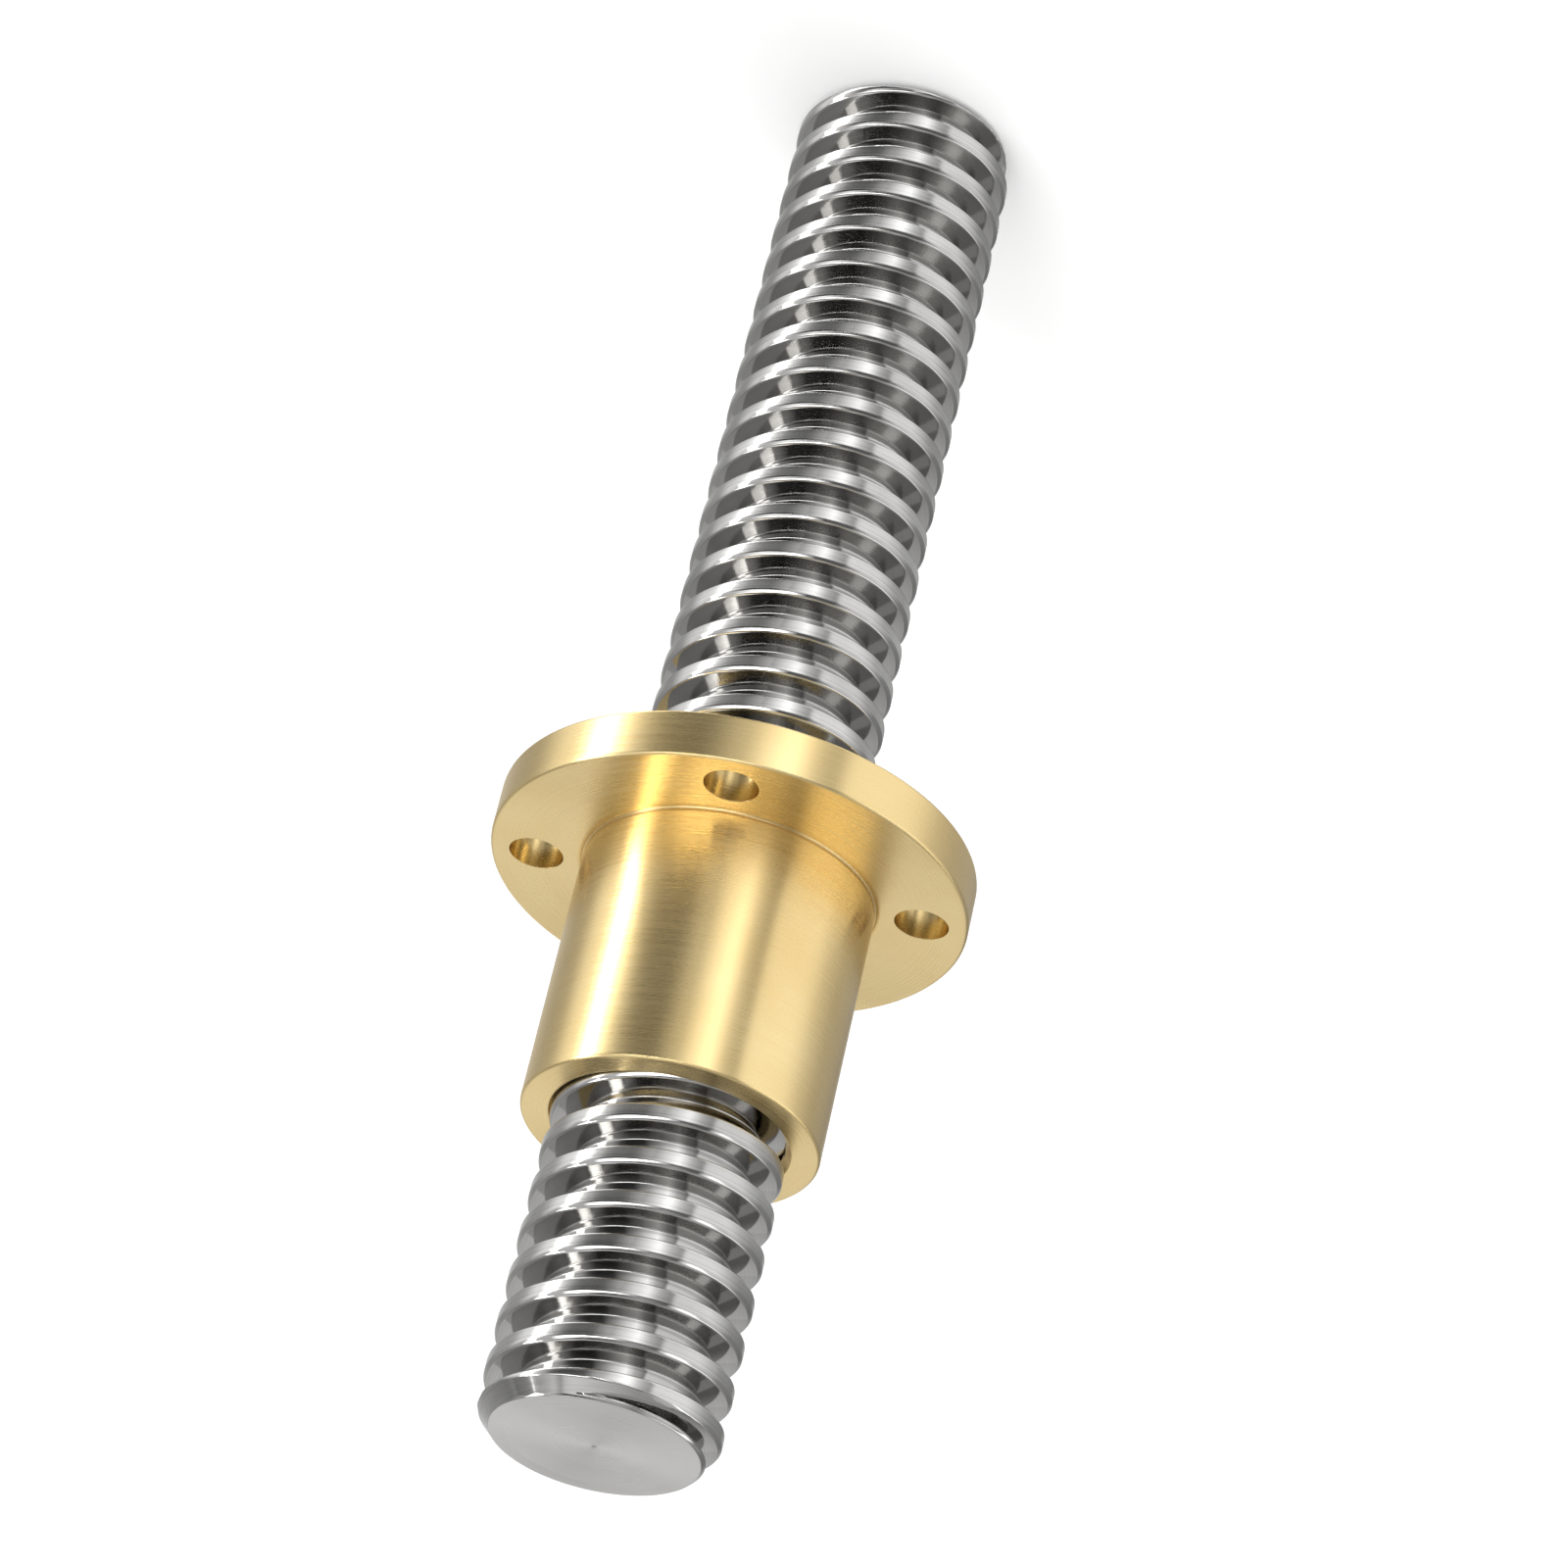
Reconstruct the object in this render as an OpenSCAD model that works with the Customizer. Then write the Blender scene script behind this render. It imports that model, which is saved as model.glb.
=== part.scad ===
// Trapezoidal lead screw with a flanged nut on it.
// Z is the screw's axis. The screw stands on its lower end face, at z = 0.

/* [Lead screw] */
// Major diameter of the screw's thread
screw_d = 30; // [26:1:32]
// Pitch, which is also the lead of the single-start thread
pitch = 6; // [5:0.5:7]
// Length of the screw from end face to end face
screw_length = 200.5; // [170:0.5:210]
// Angle about the axis at which a crest meets the lower end face
thread_turn = -114; // [-180:1:180]
// Chamfer on the screw's upper end
top_chamfer = 2; // [0.5:0.1:2.5]
// Chamfer on the end that the screw stands on
foot_chamfer = 1.1; // [0.5:0.1:2.5]

/* [Flanged nut] */
// Height of the flange's back face above the screw's lower end
nut_height = 115; // [20:1:120]
// Length of the sleeve beyond the flange
sleeve_length = 36; // [20:1:38]
// Wall of the sleeve outside the screw's major diameter
sleeve_wall = 4; // [3:0.5:8]
// Thickness of the flange
flange_thickness = 6.5; // [4:0.5:8]
// Width of the flange's rim outside the sleeve
flange_rim = 12; // [11:0.5:18]
// Radial gap between the nut's bore and the screw's crests
crest_gap = 0.3; // [0.2:0.05:0.5]
// Chamfer at both mouths of the bore
mouth_chamfer = 0.6; // [0.3:0.1:1]
// Chamfer on the nut's outer edges
edge_chamfer = 0.4; // [0.2:0.1:0.8]

/* [Bolt holes] */
// Number of bolt holes
bolt_count = 4; // [3:1:8]
// Diameter of a bolt hole
bolt_hole_d = 7; // [4:0.5:8]

/* [Hidden] */

screw_r = screw_d / 2;

// Thread form: a trapezoid with flanks 15 degrees off square to the axis
flank_angle = 15;
root_clearance = 0.5;
thread_depth = pitch / 2 + root_clearance;
root_r = screw_r - thread_depth;
land = 0.366 * pitch;
flank = thread_depth * tan(flank_angle);

// The form's corners over one pitch, as [height above a crest's centre, radius]
thread_form = [
    [-land / 2, screw_r],
    [land / 2, screw_r],
    [land / 2 + flank, root_r],
    [pitch - land / 2 - flank, root_r],
];
corners = len(thread_form);

// Mesh of the thread: upright columns of corners, one column every 9 degrees
columns = 40;
column_step = 360 / columns;
chamfer_steps = 3;
thread_low = foot_chamfer;
thread_high = screw_length - top_chamfer;
column_size = corners * (ceil(screw_length / pitch) + 4);

bore_r = screw_r + crest_gap;
sleeve_r = screw_r + sleeve_wall;
flange_r = sleeve_r + flange_rim;
bolt_circle_r = (sleeve_r + flange_r) / 2;
nut_length = flange_thickness + sleeve_length;
round_steps = 96;
overcut = 1;

// Height of corner i in column j, held between the two chamfers
function corner_z(j, i) =
    let (turn = floor(i / corners) - 2)
    let (crest_z = pitch * (turn + (j * column_step - thread_turn) / 360))
    min(max(crest_z + thread_form[i % corners][0], thread_low), thread_high);

// Radius of the thread in column j at height z
function thread_r(j, z) =
    let (above_crest = z - pitch * (j * column_step - thread_turn) / 360)
    let (u = above_crest - pitch * floor(above_crest / pitch))
    lookup(u, [
        [0, screw_r],
        [land / 2, screw_r],
        [land / 2 + flank, root_r],
        [pitch - land / 2 - flank, root_r],
        [pitch - land / 2, screw_r],
        [pitch, screw_r],
    ]);

// Point at radius r and height z in column j
function column_point(j, r, z) = [r * cos(j * column_step), r * sin(j * column_step), z];

// Corner i of column j as a place in the point list. After a full turn the helix has
// climbed one pitch, so the last column's neighbour is the first, one form further up.
function corner_at(j, i) = j < columns ? j * column_size + i : min(i + corners, column_size - 1);

module lead_screw() {
    threads = [
        for (j = [0:columns - 1], i = [0:column_size - 1])
            let (z = corner_z(j, i))
            column_point(j, thread_r(j, z), z)
    ];
    // Rings that step through each chamfer to its end face, where the thread is held
    // inside a 45 degree cone
    low_rings = [
        for (k = [1:chamfer_steps], j = [0:columns - 1])
            let (cut = foot_chamfer * k / chamfer_steps)
            column_point(j, min(thread_r(j, foot_chamfer - cut), screw_r - cut), foot_chamfer - cut)
    ];
    high_rings = [
        for (k = [1:chamfer_steps], j = [0:columns - 1])
            let (cut = top_chamfer * k / chamfer_steps)
            column_point(j, min(thread_r(j, thread_high + cut), screw_r - cut), thread_high + cut)
    ];
    low_at = len(threads);
    high_at = low_at + len(low_rings);
    low_end = low_at + columns * (chamfer_steps - 1);
    high_end = high_at + columns * (chamfer_steps - 1);

    // Two triangles join each pair of corners to the pair in the next column.
    // A pair that the chamfer holds at one height leaves its triangle out.
    thread_faces = [
        for (j = [0:columns - 1], i = [0:column_size - 2]) each [
            if (corner_z(j + 1, i) < corner_z(j + 1, i + 1))
                [corner_at(j, i), corner_at(j + 1, i + 1), corner_at(j + 1, i)],
            if (corner_z(j, i) < corner_z(j, i + 1))
                [corner_at(j, i), corner_at(j, i + 1), corner_at(j + 1, i + 1)],
        ]
    ];
    chamfer_faces = [
        for (k = [0:chamfer_steps - 1], j = [0:columns - 1])
            let (
                next = (j + 1) % columns,
                low = low_at + k * columns,
                high = high_at + k * columns,
                under = k == 0
                    ? [corner_at(j, 0), corner_at(next, 0)]
                    : [low - columns + j, low - columns + next],
                over = k == 0
                    ? [corner_at(j, column_size - 1), corner_at(next, column_size - 1)]
                    : [high - columns + j, high - columns + next]
            )
            each [
                [low + j, under[0], low + next],
                [under[0], under[1], low + next],
                [over[0], high + j, over[1]],
                [high + j, high + next, over[1]],
            ]
    ];
    low_face = [for (j = [0:columns - 1]) low_end + j];
    high_face = [for (j = [columns - 1:-1:0]) high_end + j];

    color("silver")
        polyhedron(
            points = concat(threads, low_rings, high_rings),
            faces = concat(thread_faces, chamfer_faces, [low_face, high_face])
        );
}

// Half section of the nut, with the flange's back face on the X axis
module nut_section() {
    polygon([
        [bore_r, mouth_chamfer],
        [bore_r + mouth_chamfer, 0],
        [flange_r - edge_chamfer, 0],
        [flange_r, edge_chamfer],
        [flange_r, flange_thickness - edge_chamfer],
        [flange_r - edge_chamfer, flange_thickness],
        [sleeve_r, flange_thickness],
        [sleeve_r, nut_length - edge_chamfer],
        [sleeve_r - edge_chamfer, nut_length],
        [bore_r + mouth_chamfer, nut_length],
        [bore_r, nut_length - mouth_chamfer],
    ]);
}

module flanged_nut() {
    color("goldenrod")
        translate([0, 0, nut_height])
        difference() {
            rotate_extrude($fn = round_steps) nut_section();
            for (k = [0:bolt_count - 1])
                rotate(k * 360 / bolt_count)
                translate([bolt_circle_r, 0, -overcut])
                    cylinder(d = bolt_hole_d, h = flange_thickness + 2 * overcut, $fn = round_steps);
        }
}

lead_screw();
flanged_nut();
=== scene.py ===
import bpy
import numpy as np
from mathutils import Matrix, Vector


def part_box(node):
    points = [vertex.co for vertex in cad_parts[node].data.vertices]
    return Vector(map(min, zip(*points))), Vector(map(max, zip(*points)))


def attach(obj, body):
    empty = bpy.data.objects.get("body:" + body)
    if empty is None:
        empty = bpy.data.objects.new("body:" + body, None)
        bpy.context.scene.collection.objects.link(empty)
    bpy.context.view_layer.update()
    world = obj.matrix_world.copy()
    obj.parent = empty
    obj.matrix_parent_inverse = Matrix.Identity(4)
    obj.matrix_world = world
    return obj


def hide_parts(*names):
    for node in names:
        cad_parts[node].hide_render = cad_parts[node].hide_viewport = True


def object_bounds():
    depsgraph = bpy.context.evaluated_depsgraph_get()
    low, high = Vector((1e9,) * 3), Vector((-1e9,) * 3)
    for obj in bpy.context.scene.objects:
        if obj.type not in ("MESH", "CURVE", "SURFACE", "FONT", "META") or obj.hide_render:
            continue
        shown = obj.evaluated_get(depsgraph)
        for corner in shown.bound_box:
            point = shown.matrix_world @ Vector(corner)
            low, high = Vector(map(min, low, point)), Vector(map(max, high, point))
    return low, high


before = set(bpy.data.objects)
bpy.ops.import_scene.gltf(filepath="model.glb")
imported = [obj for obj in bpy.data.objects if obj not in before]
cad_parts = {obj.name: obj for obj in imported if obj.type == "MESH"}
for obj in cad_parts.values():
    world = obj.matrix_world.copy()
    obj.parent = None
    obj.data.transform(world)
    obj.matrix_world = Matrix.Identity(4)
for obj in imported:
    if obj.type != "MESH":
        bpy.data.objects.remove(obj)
cad_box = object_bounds()


# ---------------------------------------------------------------- Camera
# A long lens looks down on the screw from beyond its top end, rolled over so
# that the top face comes nearest, at the foot of the frame.
top_face = float(cad_box[1][2])
sensor_width, focal_length = 36, 122.49675         # millimetres
face_in_view = np.array([-0.022676, 0.079162, 0.637335])   # right, down and ahead, metres
lean, dip = np.radians(13.326), np.radians(31.096)         # the axis' roll and its tilt
down_axis = np.array([np.cos(dip) * np.sin(lean), -np.cos(dip) * np.cos(lean), np.sin(dip)])
up = -down_axis
away = face_in_view - (face_in_view @ up) * up
away = away / np.linalg.norm(away)
across = np.cross(away, up)
turn = np.radians(-6.0)                            # the bolt holes stay on x and y
spin = np.array([[np.cos(turn), -np.sin(turn), 0], [np.sin(turn), np.cos(turn), 0], [0, 0, 1]])
to_world = spin @ np.array([across, away, up])
eye = np.array([0, 0, top_face]) - to_world @ face_in_view
pose = np.eye(4)
pose[:3, 0], pose[:3, 1], pose[:3, 2] = to_world[:, 0], -to_world[:, 1], -to_world[:, 2]
pose[:3, 3] = eye
lens = bpy.data.cameras.new("camera")
lens.sensor_width = sensor_width
lens.lens = focal_length
lens.clip_start, lens.clip_end = 0.02, 20
camera = bpy.data.objects.new("camera", lens)
camera.matrix_world = Matrix(pose.tolist())
bpy.context.scene.collection.objects.link(camera)
bpy.context.scene.camera = camera


# ---------------------------------------------------------------- Lead screw
# One steel bar with a single-start right-hand trapezoidal thread cut along its
# whole length, its crests broken by a small radius and both ends faced and
# chamfered.
lead = 0.006
crest_radius, thread_depth = 0.015, 0.0035
root_radius = crest_radius - thread_depth
half_land = 0.366 * lead / 2                       # half of a crest's flat
flank_lean = np.radians(15)
flank_run = thread_depth * np.tan(flank_lean)
thread_start = np.radians(-114)                    # where a crest crosses z = 0
screw_columns = 96
screw_angles = np.linspace(0, 2 * np.pi, screw_columns + 1)[None, :] + thread_start
top_chamfer, foot_chamfer = 0.002, 0.0011
top_lip, foot_lip = 0.0005, 0.0003


def rounded(corners, sizes, steps):
    """Rounds a profile's inner corners: each becomes the parabola from the point
    one size before it to the point one size after it, pulled towards the corner."""
    p = np.array(corners, float)
    before, after = p[:-2] - p[1:-1], p[2:] - p[1:-1]
    size = np.array(sizes, float)[:, None]
    a = p[1:-1] + before / np.linalg.norm(before, axis=1)[:, None] * size
    b = p[1:-1] + after / np.linalg.norm(after, axis=1)[:, None] * size
    s = np.linspace(0, 1, steps)[None, :, None]
    arcs = (1 - s) ** 2 * a[:, None] + 2 * s * (1 - s) * p[1:-1][:, None] + s ** 2 * b[:, None]
    return np.vstack([p[:1], arcs.reshape(-1, 2), p[-1:]])


def thread_radius(profile, angle, height):
    """The thread's radius at an angle and a height: the profile read at the
    height less the lead's share of the angle, taken over one lead."""
    along = np.mod(height - lead * (angle - thread_start) / (2 * np.pi), lead)
    return np.interp(along, profile[:, 0], profile[:, 1])


def ring(radius, angle, height):
    """Points at (radius cos angle, radius sin angle, height)."""
    radius, angle, height = np.broadcast_arrays(radius, angle, height)
    return np.stack([radius * np.cos(angle), radius * np.sin(angle), height], axis=-1)


def thread_wall(profile, angle, low, high):
    """The threaded wall between two heights: the profile is carried up the helix
    height = lead x angle / full turn, and cut off level at both heights."""
    turns = np.arange(np.floor(low / lead) - 3, np.ceil(high / lead) + 3)
    along = (profile[None, :-1, 0] + lead * turns[:, None]).reshape(-1, 1)
    height = np.clip(along + lead * (angle - thread_start) / (2 * np.pi), low, high)
    return ring(thread_radius(profile, angle, height), angle, height)


def stitched(name, sheets, materials):
    """One closed mesh from sheets of points, given as (rows x columns x 3 array,
    whether it faces the other way, material). Points that round to the same tenth
    of a micrometre become one, and a small shift keeps plain values off the steps
    of the rounding. Faces that close up are left out. Each point's normal is the
    mean of its faces', weighted by area."""
    points, quads, kinds, start = [], [], [], 0
    for grid, flip, kind in sheets:
        rows, cols = grid.shape[:2]
        n = np.arange(rows * cols).reshape(rows, cols) + start
        q = np.stack([n[:-1, :-1], n[:-1, 1:], n[1:, 1:], n[1:, :-1]], axis=-1).reshape(-1, 4)
        points.append(grid.reshape(-1, 3))
        quads.append(q[:, ::-1] if flip else q)
        kinds.append(np.full(len(q), kind))
        start += rows * cols
    points, quads, kinds = np.vstack(points), np.vstack(quads), np.concatenate(kinds)
    steps = np.round(points * 1e7 + 0.317).astype(np.int64)
    _, first, same = np.unique(steps, axis=0, return_index=True, return_inverse=True)
    points, quads = points[first], same.reshape(-1)[quads]
    faces = np.vstack([quads[:, [0, 1, 2]], quads[:, [0, 2, 3]]])
    kinds = np.concatenate([kinds, kinds])
    one, two, three = faces.T
    real = (one != two) & (two != three) & (one != three)
    faces, kinds = faces[real], kinds[real]
    across_face = np.cross(points[faces[:, 1]] - points[faces[:, 0]],
                           points[faces[:, 2]] - points[faces[:, 0]])
    normal = np.zeros_like(points)
    for corner in range(3):
        np.add.at(normal, faces[:, corner], across_face)
    normal /= np.maximum(np.linalg.norm(normal, axis=1), 1e-30)[:, None]
    mesh = bpy.data.meshes.new(name)
    mesh.from_pydata(points.tolist(), [], faces.tolist())
    for material in materials:
        mesh.materials.append(material)
    mesh.polygons.foreach_set("material_index", kinds.astype(np.int32))
    mesh.shade_smooth()
    mesh.normals_split_custom_set_from_vertices(normal.tolist())
    mesh.update()
    piece = bpy.data.objects.new(name, mesh)
    bpy.context.scene.collection.objects.link(piece)
    return piece


def node(tree, kind, inputs=(), **settings):
    """Adds a node, sets what it is given, and wires or sets its inputs by name."""
    new = tree.nodes.new(kind)
    for name, value in settings.items():
        setattr(new, name, value)
    for name, value in dict(inputs).items():
        if isinstance(value, bpy.types.NodeSocket):
            tree.links.new(value, new.inputs[name])
        else:
            new.inputs[name].default_value = value
    return new.outputs


def maths(tree, operation, *values):
    """A maths node over sockets and numbers, in the order of its inputs."""
    return node(tree, "ShaderNodeMath", dict(enumerate(values)), operation=operation)["Value"]


def turned_metal(name, colour, worn, grain, rough, depth, stretch, land=None):
    """A lathe-turned metal: fine tool lines lie where grain, a function of place,
    is constant. They set a relief of the given depth and a roughness between the
    two values of rough, and slow clouds shift the colour between worn and colour.
    Given land, a thread's outer radius, the grooves below it are painted darker, down
    to 0.4 of the colour, as painted shade, and the land is less polished than the
    grooves. Stretch draws the highlights out across the lines."""
    material = bpy.data.materials.new(name)
    material.use_nodes = True
    tree = material.node_tree
    shader = tree.nodes["Principled BSDF"]
    place = node(tree, "ShaderNodeTexCoord")["Object"]
    apart = node(tree, "ShaderNodeSeparateXYZ", {"Vector": place})
    flat = node(tree, "ShaderNodeCombineXYZ", {"X": apart["X"], "Y": apart["Y"]})["Vector"]
    radius = node(tree, "ShaderNodeVectorMath", {0: flat}, operation="LENGTH")["Value"]
    lines = node(tree, "ShaderNodeTexNoise", {"Vector": grain(tree, apart, radius), "Scale": 1.0,
                 "Detail": 4.0, "Roughness": 0.65})["Fac"]
    clouds = node(tree, "ShaderNodeTexNoise",
                  {"Vector": place, "Scale": 90.0, "Detail": 3.0})["Fac"]
    wear = maths(tree, "MULTIPLY", lines, clouds)
    tone = node(tree, "ShaderNodeMapRange",
                {"Value": wear, "From Min": 0.12, "From Max": 0.42})["Result"]
    ramp = tree.nodes.new("ShaderNodeValToRGB")
    ramp.color_ramp.elements[0].color = (*worn, 1)
    ramp.color_ramp.elements[1].color = (*colour, 1)
    tree.links.new(ramp.outputs["Color"], shader.inputs["Base Color"])
    gloss = node(tree, "ShaderNodeMapRange", {"Value": lines, "From Min": 0.3, "From Max": 0.7,
                 "To Min": rough[0], "To Max": rough[1]})["Result"]
    if land:
        groove_painted_shade, land_rough = 0.4, 0.12
        outer = node(tree, "ShaderNodeMapRange", {"Value": radius, "From Min": land - 0.00012,
                     "From Max": land - 0.00002, "To Min": 0.0, "To Max": 1.0})["Result"]
        gloss = maths(tree, "MULTIPLY_ADD", outer, land_rough, gloss)
        # Painted shade: below the land the colour is darkened to 0.4, standing for the shade that
        # falls in the grooves; the added roughness on the land above is real.
        groove_shade_factor = maths(tree, "MULTIPLY_ADD", outer, 1 - groove_painted_shade, groove_painted_shade)
        tone = maths(tree, "MULTIPLY", tone, groove_shade_factor)
    tree.links.new(tone, ramp.inputs["Fac"])
    tree.links.new(gloss, shader.inputs["Roughness"])
    relief = node(tree, "ShaderNodeBump", {"Height": lines, "Strength": 1.0,
                  "Distance": depth})["Normal"]
    tree.links.new(relief, shader.inputs["Normal"])
    shader.inputs["Metallic"].default_value = 1
    shader.inputs["Anisotropic"].default_value = stretch
    shader.inputs["Anisotropic Rotation"].default_value = 0.25
    round_axis = tree.nodes.new("ShaderNodeTangent")
    round_axis.direction_type, round_axis.axis = "RADIAL", "Z"
    tree.links.new(round_axis.outputs["Tangent"], shader.inputs["Tangent"])
    return material


def helix_grain(tree, apart, radius):
    """Lines that follow the thread: height and angle become one place along the
    lead, bent into a circle so that each turn meets the next, beside the radius."""
    circle_size, per_metre = 4.2, 3000.0           # how fine along the lead and outwards
    angle = maths(tree, "ARCTAN2", apart["Y"], apart["X"])
    climb = maths(tree, "MULTIPLY", apart["Z"], 2 * np.pi / lead)
    place = maths(tree, "SUBTRACT", climb, angle)
    east = maths(tree, "COSINE", place)
    north = maths(tree, "SINE", place)
    both = node(tree, "ShaderNodeCombineXYZ", {"X": east, "Y": north})["Vector"]
    circle = node(tree, "ShaderNodeVectorMath", {0: both, "Scale": circle_size},
                  operation="SCALE")["Vector"]
    out = maths(tree, "MULTIPLY", radius, per_metre)
    beside = node(tree, "ShaderNodeCombineXYZ", {"Z": out})["Vector"]
    return node(tree, "ShaderNodeVectorMath", {0: circle, 1: beside}, operation="ADD")["Vector"]


def ring_grain(per_metre):
    """Lines in rings: nearly the same at one radius and one height, and fading
    into others slowly along x."""
    fading = 40.0

    def grain(tree, apart, radius):
        out = maths(tree, "MULTIPLY", radius, per_metre)
        climb = maths(tree, "MULTIPLY", apart["Z"], per_metre)
        east = maths(tree, "MULTIPLY", apart["X"], fading)
        return node(tree, "ShaderNodeCombineXYZ", {"X": out, "Y": climb, "Z": east})["Vector"]
    return grain


bevel_run, bevel_drop = 0.00045, 0.00033           # the crests' broken upper edge
screw_profile = rounded(
    [(0, crest_radius), (half_land - bevel_run, crest_radius),
     (half_land + bevel_drop * np.tan(flank_lean), crest_radius - bevel_drop),
     (half_land + flank_run, root_radius),
     (lead - half_land - flank_run, root_radius), (lead - half_land, crest_radius),
     (lead, crest_radius)],
    [0.00015, 0.0002, 0.00025, 0.00025, 0.0003], 5)


def screw_end(face_height, inward, chamfer, lip):
    """The last stretch of the bar: the thread held inside a 45 degree cone, then a
    plain lip of that cone, which facing left standing over the groove, a small
    radius and the flat face, a touch lower within its outer ring and drawn in to a
    centre mark."""
    soft = 0.00012
    mark_depth, mark_radius = 0.0002, 0.00035
    inner_share, inner_depth = 0.88, 0.00002
    cut_rows, lip_rows = 9, 3
    depth = np.concatenate([np.linspace(chamfer, lip, cut_rows),
                            np.linspace(lip, soft, lip_rows)])[:, None]
    height = face_height + inward * depth
    cone = crest_radius - chamfer + depth + 0 * screw_angles
    thread = np.minimum(thread_radius(screw_profile, screw_angles, height), cone)
    wall = np.where(np.arange(len(depth))[:, None] < cut_rows, thread, cone)
    bend = np.linspace(0, np.pi / 2, 4)[1:, None]
    edge = wall[-1:] - soft * (1 - np.cos(bend))
    edge_height = face_height + inward * soft * (1 - np.sin(bend))
    share = np.array([1, 0.97, inner_share, 0.875, 0.7, 0.5, 0.3, 0.12,
                      0.05, 0.03, 0.015, 0])[:, None]
    face = edge[-1:] * share
    sunk = (mark_depth * np.clip(1 - face / mark_radius, 0, 1)
            + inner_depth * (share < inner_share))
    return [(ring(wall, screw_angles, height), inward > 0, 0),
            (ring(np.vstack([wall[-1:], edge]), screw_angles,
                  np.vstack([height[-1:], edge_height])), inward > 0, 0),
            (ring(face, screw_angles, face_height + inward * sunk), inward > 0, 1)]


screw_piece = stitched(
    "turned_screw",
    [(thread_wall(screw_profile, screw_angles, foot_chamfer, top_face - top_chamfer), False, 0)]
    + screw_end(top_face, -1, top_chamfer, top_lip)
    + screw_end(0.0, 1, foot_chamfer, foot_lip),
    [turned_metal("ground_steel", (0.76, 0.755, 0.74), (0.46, 0.455, 0.445), helix_grain,
                  (0.05, 0.08), 0.0000008, 0.9, land=crest_radius),
     turned_metal("faced_steel", (0.70, 0.69, 0.68), (0.62, 0.61, 0.60), ring_grain(3500.0),
                  (0.26, 0.36), 0.000001, 0.85)])
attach(screw_piece, "screw")
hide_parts("lead_screw")


# ---------------------------------------------------------------- Flanged nut
# A brass nut turned from one bar: a plain sleeve, a flange with four bolt holes,
# whose walls have a darker brass colour, and the mating thread inside, which runs
# with a little clearance on the screw.
nut_low, nut_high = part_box("flanged_nut")
back_face, sleeve_end = float(nut_low[2]), float(nut_high[2])
flange_radius, flange_thickness = float(min(nut_high[0], nut_high[1])), 0.0065
flange_face = back_face + flange_thickness
sleeve_radius = 0.019
bolt_circle, bolt_hole = 0.025, 0.0035
nut_columns = 192
nut_angles = np.linspace(0, 2 * np.pi, nut_columns + 1)[None, :]
mouth_radius = 0.01545
thread_gap, crest_gap, root_gap = 0.00028, 0.0003, 0.00035
nut_profile = rounded(
    [(0, crest_radius + crest_gap), (half_land + thread_gap, crest_radius + crest_gap),
     (half_land + thread_gap + flank_run, root_radius + root_gap),
     (lead - half_land - thread_gap - flank_run, root_radius + root_gap),
     (lead - half_land - thread_gap, crest_radius + crest_gap), (lead, crest_radius + crest_gap)],
    [0.0002] * 4, 4)


def lathe(outline):
    """The surface swept by an outline of (radius, height) points round the axis."""
    outline = np.array(outline, float)
    return ring(outline[:, :1], nut_angles, outline[:, 1:])


def mouth(face_height, inward):
    """The bore's entry: the mating thread opened out by a 45 degree cone."""
    rows = 30
    depth = np.linspace(0, mouth_radius - root_radius, rows)[:, None]
    height = face_height + inward * depth
    return ring(np.maximum(thread_radius(nut_profile, nut_angles, height), mouth_radius - depth),
                nut_angles, height)


def holed_face(inner, outer, height, rim):
    """A flat ring with four holes, and the angles of the points on a hole's rim.
    Each quarter's rows run from the rim to the quarter's border, straight in
    (radius, angle) and closest together beside the hole."""
    arc, side = nut_columns // 4, 8
    a, s = np.linspace(-np.pi / 4, np.pi / 4, arc + 1), np.linspace(0, 1, side + 1)
    border_r = np.concatenate([np.full(arc, outer), (outer + (inner - outer) * s)[:-1],
                               np.full(arc, inner), (inner + (outer - inner) * s)])
    border_a = np.concatenate([a[:-1], np.full(side, a[-1]), a[::-1][:-1],
                               np.full(side + 1, a[0])])
    t = 2 * np.pi * (np.arange(len(border_r)) - arc / 2) / (len(border_r) - 1)
    x, y = bolt_circle + rim * np.cos(t), rim * np.sin(t)
    rim_r, rim_a = np.hypot(x, y), np.arctan2(y, x)
    share = np.array([0, 0.06, 0.2, 0.45, 0.72, 1])[:, None]
    radius = rim_r * (1 - share) + border_r * share
    return [ring(radius, rim_a * (1 - share) + border_a * share + quarter * np.pi / 2, height)
            for quarter in range(4)], t


def bolt_wall(t, low, high, soft):
    """The holes' walls, with their mouths opened by a small radius."""
    bend = np.linspace(0, np.pi / 2, 4)
    radius = np.concatenate([bolt_hole + soft * (1 - np.sin(bend)),
                             bolt_hole + soft * (1 - np.cos(bend))])[:, None]
    height = np.concatenate([low + soft * (1 - np.cos(bend)),
                             high - soft + soft * np.sin(bend)])[:, None]
    x, y = bolt_circle + radius * np.cos(t), radius * np.sin(t)
    walls = []
    for quarter in range(4):
        c, s = np.cos(quarter * np.pi / 2), np.sin(quarter * np.pi / 2)
        walls.append(np.stack([c * x - s * y, s * x + c * y, height + 0 * x], axis=-1))
    return walls


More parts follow.
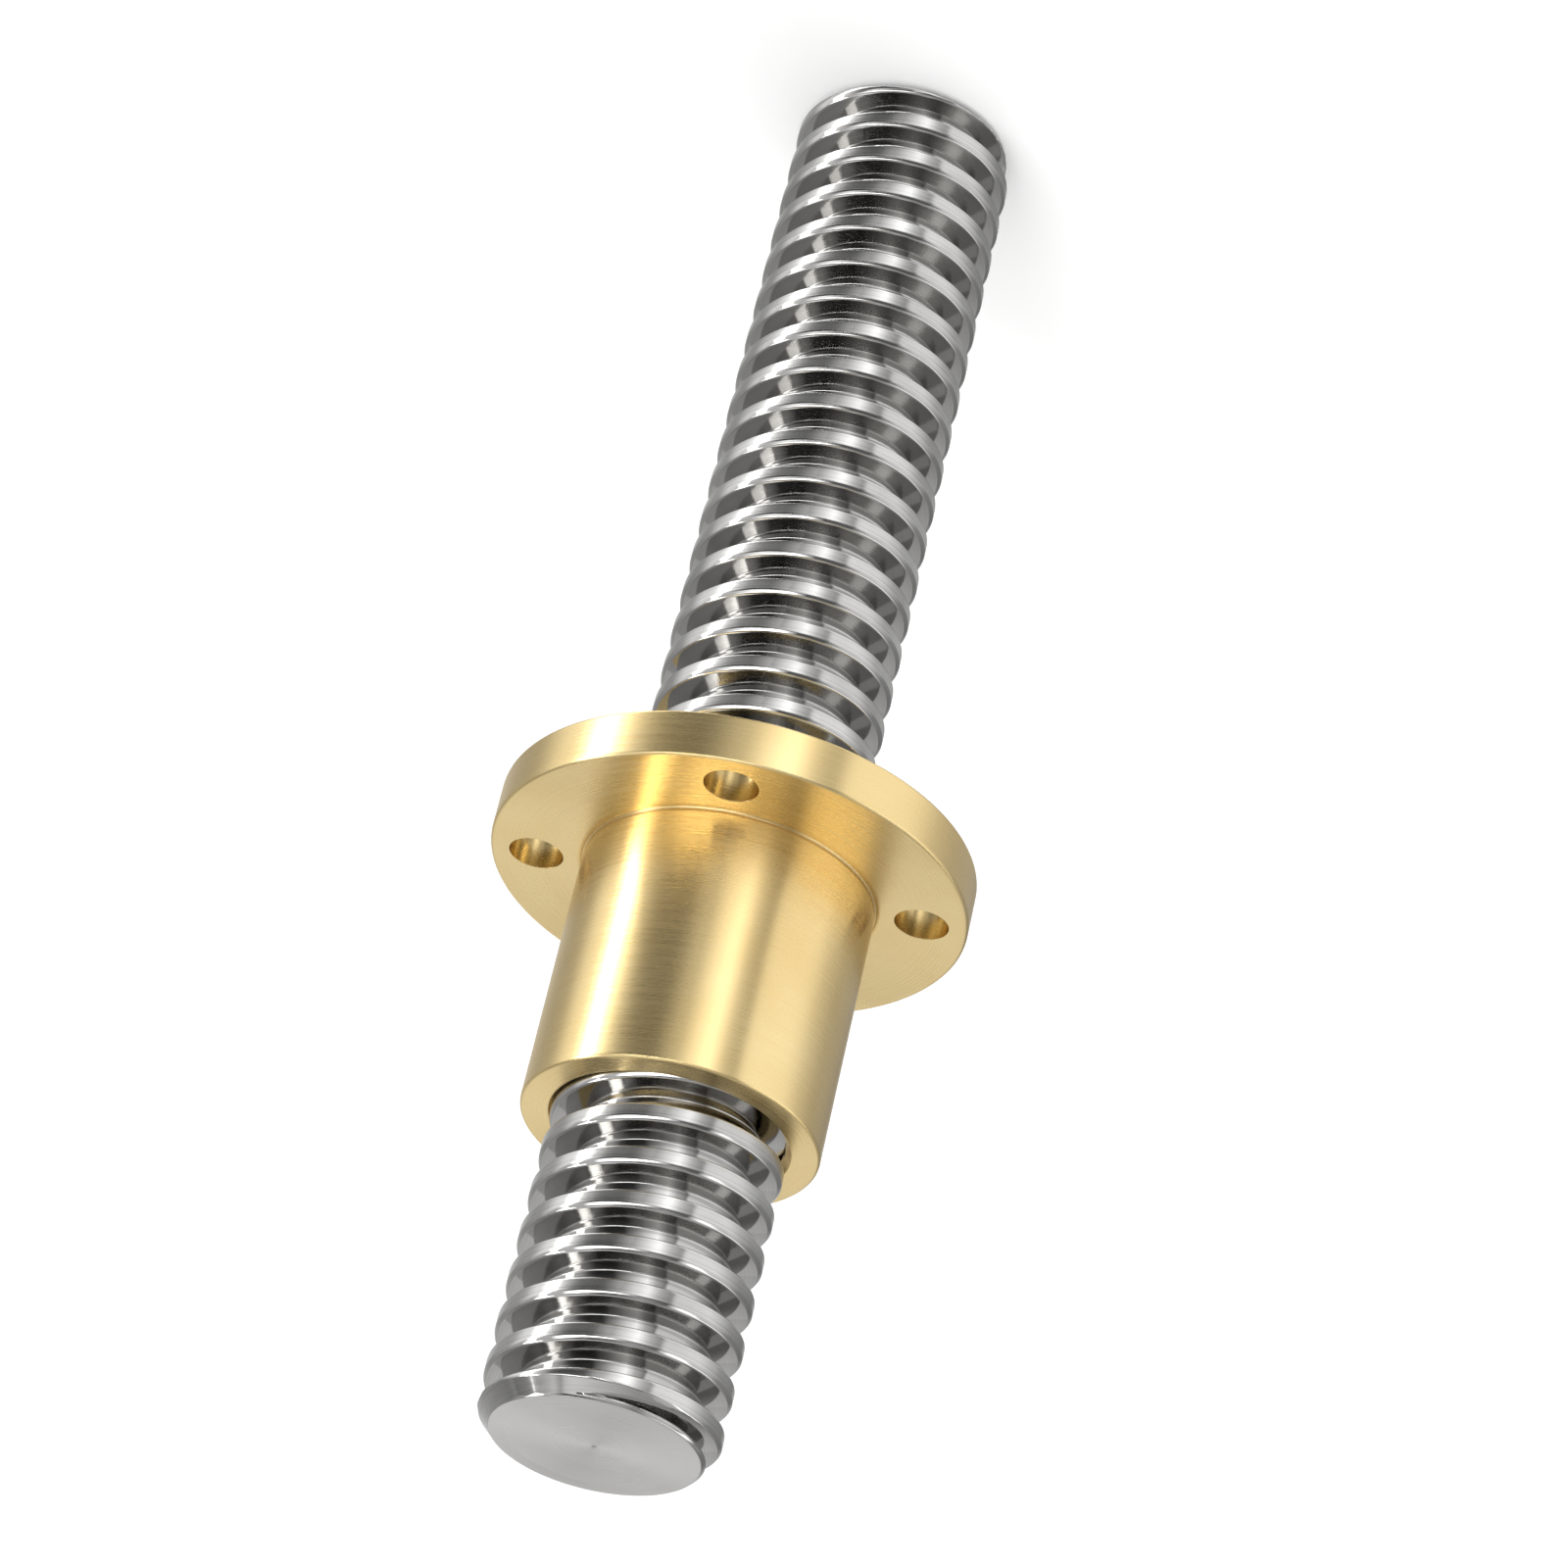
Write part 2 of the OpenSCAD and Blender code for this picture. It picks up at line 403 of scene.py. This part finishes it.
edge, hole_edge = 0.0004, 0.00006                  # radii on the turned and drilled edges
relief = 0.00022                                   # a fine turned line in the inner corner
curve = np.linspace(0, np.pi / 2, 5)
sleeve_outline = np.vstack([
    [[mouth_radius, sleeve_end]],
    np.c_[sleeve_radius - edge + edge * np.sin(curve), sleeve_end - edge + edge * np.cos(curve)],
    [[sleeve_radius, flange_face + 2.4 * relief],
     [sleeve_radius - relief, flange_face + 1.6 * relief],
     [sleeve_radius - relief, flange_face - relief],
     [sleeve_radius + relief, flange_face - relief],
     [sleeve_radius + relief, flange_face]]])
rim_outline = np.vstack([
    np.c_[flange_radius - edge + edge * np.sin(curve), flange_face - edge + edge * np.cos(curve)],
    np.c_[flange_radius - edge + edge * np.cos(curve), back_face + edge - edge * np.sin(curve)]])
front_sheets, rim_angles = holed_face(sleeve_radius + relief, flange_radius - edge, flange_face,
                                      bolt_hole + hole_edge)
back_sheets, _ = holed_face(mouth_radius, flange_radius - edge, back_face, bolt_hole + hole_edge)
nut_piece = stitched(
    "turned_nut",
    [(lathe(sleeve_outline), True, 0), (lathe(rim_outline), True, 0)]
    + [(s, True, 0) for s in front_sheets] + [(s, False, 0) for s in back_sheets]
    + [(w, True, 1) for w in bolt_wall(rim_angles, back_face, flange_face, hole_edge)]
    + [(mouth(sleeve_end, -1), False, 0), (mouth(back_face, 1), True, 0),
       (thread_wall(nut_profile, nut_angles, back_face + mouth_radius - root_radius,
                    sleeve_end - mouth_radius + root_radius), True, 0)],
    [turned_metal("turned_brass", (0.97, 0.77, 0.40), (0.90, 0.68, 0.32), ring_grain(3200.0),
                  (0.24, 0.32), 0.0000025, 0.9),
     turned_metal("drilled_brass", (0.84, 0.66, 0.33), (0.60, 0.44, 0.19), ring_grain(3200.0),
                  (0.20, 0.28), 0.0000015, 0.0)])
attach(nut_piece, "nut")
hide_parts("flanged_nut")


# ---------------------------------------------------------------- Stage
# A pale floor in a pale room, two softboxes and studio cards that only the metal
# reflects, so that its dark and bright bands lie along the axis. Metal sees the
# cards in place of the floor, and they stand round the middle of the axis.
stage_centre = 0.1
floor_half, floor_level = 8, -0.0002
floor_mesh = bpy.data.meshes.new("floor")
floor_mesh.from_pydata([(-floor_half, -floor_half, floor_level),
                        (floor_half, -floor_half, floor_level),
                        (floor_half, floor_half, floor_level),
                        (-floor_half, floor_half, floor_level)], [], [(0, 1, 2, 3)])
floor = bpy.data.objects.new("floor", floor_mesh)
bpy.context.scene.collection.objects.link(floor)
floor_paint = bpy.data.materials.new("floor_paint")
floor_paint.use_nodes = True
floor_look = floor_paint.node_tree.nodes["Principled BSDF"].inputs
floor_look["Base Color"].default_value = (0.92, 0.92, 0.92, 1)
floor_look["Roughness"].default_value = 0.9
floor_look["Specular IOR Level"].default_value = 0
floor_mesh.materials.append(floor_paint)
floor.visible_glossy = False
room = bpy.data.worlds.new("room")
bpy.context.scene.world = room
room.use_nodes = True
room.node_tree.nodes["Background"].inputs["Color"].default_value = (1, 1, 1, 1)
ray = room.node_tree.nodes.new("ShaderNodeLightPath").outputs
straight = maths(room.node_tree, "ADD", ray["Is Camera Ray"], ray["Is Glossy Ray"])
seen = maths(room.node_tree, "ADD", straight, ray["Is Transmission Ray"])
room_light, room_white = 0.9, 1.0
strength = node(room.node_tree, "ShaderNodeMapRange",
                {"Value": seen, "To Min": room_light, "To Max": room_white})["Result"]
room.node_tree.links.new(strength, room.node_tree.nodes["Background"].inputs["Strength"])
bpy.context.scene.view_settings.view_transform = "Standard"
facing = np.degrees(np.arctan2(eye[1], eye[0]))    # where the camera stands
far, near = 2.5, 2.4                               # cards, and lights in front of them


def card(name, low, high, table, reach=far):
    """A far card swept round the stage's centre between two heights in degrees
    above the horizon: reach x (cos height, sin height). Its glow follows a table
    of (bearing, glow), the bearing in degrees to the right of the camera."""
    bearings, glow = np.array(table).T
    b = np.union1d(bearings, np.arange(bearings[0], bearings[-1], 10.0))
    light = np.interp(b, bearings, glow)
    rows = 5
    rise = np.radians(np.linspace(low, high, rows))[:, None]
    grid = ring(reach * np.cos(rise), np.radians(facing - b)[None, :],
                stage_centre + reach * np.sin(rise))
    n = np.arange(rows * len(b)).reshape(rows, -1)
    quads = np.stack([n[:-1, :-1], n[:-1, 1:], n[1:, 1:], n[1:, :-1]], axis=-1).reshape(-1, 4)
    mesh = bpy.data.meshes.new(name)
    mesh.from_pydata(grid.reshape(-1, 3).tolist(), [], quads.tolist())
    shade = mesh.attributes.new("glow", "FLOAT", "POINT")
    shade.data.foreach_set("value", np.tile(light, rows).astype(np.float32))
    paint = bpy.data.materials.new(name)
    paint.use_nodes = True
    tree = paint.node_tree
    tree.nodes.remove(tree.nodes["Principled BSDF"])
    level = node(tree, "ShaderNodeAttribute", attribute_name="glow")["Fac"]
    lit = node(tree, "ShaderNodeEmission", {"Strength": level})["Emission"]
    tree.links.new(lit, tree.nodes["Material Output"].inputs["Surface"])
    mesh.materials.append(paint)
    panel = bpy.data.objects.new(name, mesh)
    bpy.context.scene.collection.objects.link(panel)
    panel.visible_camera = panel.visible_diffuse = panel.visible_shadow = False


# Four cards close the room, one above the other. Most are pale at the left, dark at
# the front left, bright just right of the camera, pale at the right and dim behind.
card("low_card", -88, 18, [
    (-180, 0.8), (-135, 0.4), (-108, 0.5), (-95, 1.1), (-68, 1.0), (-53, 0.15),
    (-44, 0.04), (-25, 0.05), (-10, 0.5), (4, 1.2), (15, 1.8), (26, 0.8),
    (38, 0.35), (42, 1.05), (80, 1.05), (112, 0.35), (150, 0.25), (180, 0.8)])
card("middle_card", 18, 37, [
    (-180, 0.9), (-145, 0.45), (-115, 0.3), (-98, 0.6), (-62, 0.8), (-42, 1.6), (-20, 0.3),
    (0, 0.15), (40, 0.15), (60, 0.9), (88, 0.9), (120, 0.4), (155, 0.4), (180, 0.9)])
card("high_card", 37, 58, [
    (-180, 0.5), (-110, 0.25), (-95, 0.4), (-72, 0.9), (-57, 0.1), (-25, 0.05), (-5, 0.2),
    (17, 0.6), (40, 0.3), (60, 0.7), (88, 0.8), (108, 0.25), (180, 0.5)])
card("top_card", 58, 89, [(-180, 0.4), (-50, 1.0), (40, 0.5), (180, 0.4)])

# In front of them stand a strip of light at the left, in three lengths, a wide light
# at the front left and one at the right for the flange, and three fills for the sleeve.
card("strip_light", -88, 18, [(-84, 1.2), (-81, 6.5), (-75, 6.5), (-71, 1.0)], near)
card("strip_middle", 25, 37, [(-92, 4.0), (-78, 4.0)], near)
card("strip_high", 37, 46, [(-92, 8.0), (-77, 8.0)], near)
card("front_light", 29, 37, [(-62, 1.0), (-39, 7.5), (-9, 7.0), (4, 1.6), (12, 0.2)], near)
card("right_light", 29, 37, [(42, 0.3), (55, 2.2), (105, 2.2), (135, 0.5)], near)
card("left_fill", -36, -26, [(-119, 0.6), (-106, 1.1), (-86, 1.4)], near)
card("front_fill", -36, -26, [(-66, 0.9), (-52, 0.55), (-30, 0.42), (-10, 0.9)], near)
card("right_fill", -36, -26, [(102, 0.6), (155, 0.5)], near)


def softbox(name, bearing, rise, distance, size, power):
    """A square lamp that looks at the stage's centre from a bearing and a height,
    both in degrees."""
    lamp = bpy.data.lights.new(name, "AREA")
    lamp.size, lamp.energy = size, power
    body = bpy.data.objects.new(name, lamp)
    a, e = np.radians(facing - bearing), np.radians(rise)
    aim = Vector((0, 0, stage_centre))
    out = Vector((np.cos(a) * np.cos(e), np.sin(a) * np.cos(e), np.sin(e)))
    body.location = aim + out * distance
    body.rotation_euler = (-out).to_track_quat("-Z", "Y").to_euler()
    body.visible_glossy = False
    bpy.context.scene.collection.objects.link(body)


softbox("softbox_left", -36, 42, 1.2, 0.7, 6)
softbox("softbox_top", 140, 70, 1.2, 0.9, 5)
